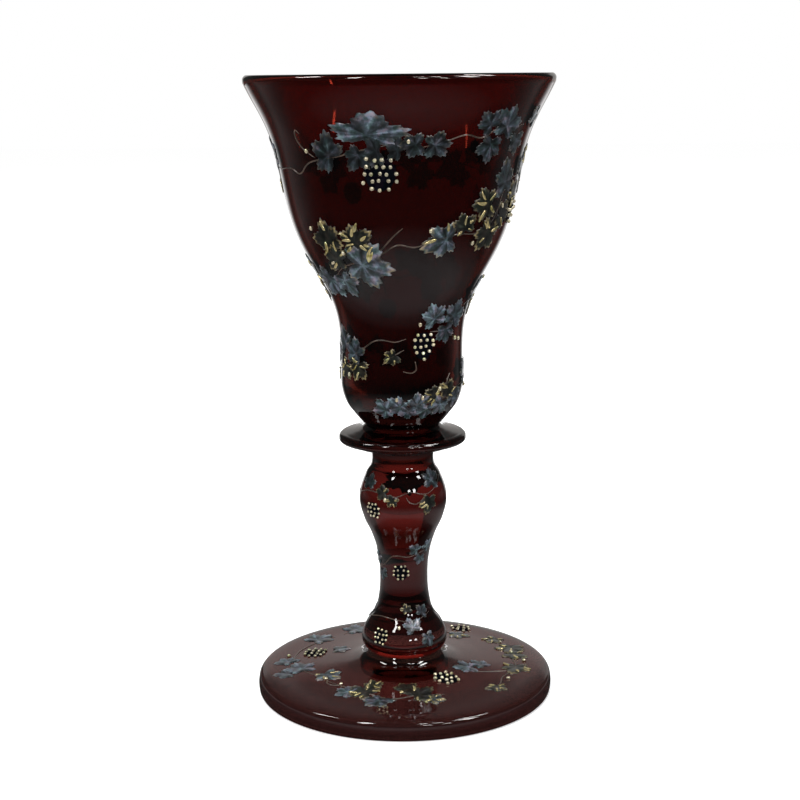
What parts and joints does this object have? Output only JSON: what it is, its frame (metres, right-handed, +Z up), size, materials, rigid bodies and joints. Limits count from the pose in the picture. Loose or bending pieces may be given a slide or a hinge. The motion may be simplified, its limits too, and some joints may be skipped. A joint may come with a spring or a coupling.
{
  "type": "goblet",
  "caption": "Dark ruby glass goblet with a flared bowl, a bulbed bowl base, a collared baluster stem and a broad disc foot, wound with a raised enamel grapevine.",
  "frame": {"origin": "centre of the foot's underside, on the surface that the goblet stands on", "axes": "+Z up the goblet's axis to the rim; -Y faces the viewer of the picture and +X is to that viewer's right"},
  "size_m": [0.0972, 0.0972, 0.2],
  "materials": {
    "ruby_glass": "polished, deep ruby, almost black where two walls overlap",
    "silver_enamel": "silvery blue-grey lustre enamel, satin, slightly iridescent",
    "gilt_enamel": "gilded raised enamel beads, glossy"
  },
  "bodies": {
    "root": {"foot": "ruby_glass", "stem": "ruby_glass", "collar": "ruby_glass", "bowl": "ruby_glass", "bowl_vine_1": "silver_enamel", "bowl_vine_2": "silver_enamel", "bowl_vine_3": "silver_enamel", "bowl_vine_4": "silver_enamel", "bowl_vine_5": "silver_enamel", "bowl_vine_6": "silver_enamel", "bowl_vine_7": "silver_enamel", "stem_vine_knop": "silver_enamel", "stem_vine_waist": "silver_enamel", "stem_vine_base": "silver_enamel", "foot_vine_front": "silver_enamel", "foot_vine_right": "silver_enamel", "foot_vine_back": "silver_enamel", "foot_vine_left": "silver_enamel", "bowl_grapes_1": "gilt_enamel", "bowl_grapes_2": "gilt_enamel", "bowl_grapes_3": "gilt_enamel", "bowl_grapes_4": "gilt_enamel", "bowl_grapes_5": "gilt_enamel", "bowl_grapes_6": "gilt_enamel", "stem_grapes_knop": "gilt_enamel", "stem_grapes_waist": "gilt_enamel", "stem_grapes_base": "gilt_enamel", "foot_grapes_left": "gilt_enamel", "foot_grapes_right": "gilt_enamel", "foot_grapes_back": "gilt_enamel"}
  },
  "joints": []
}
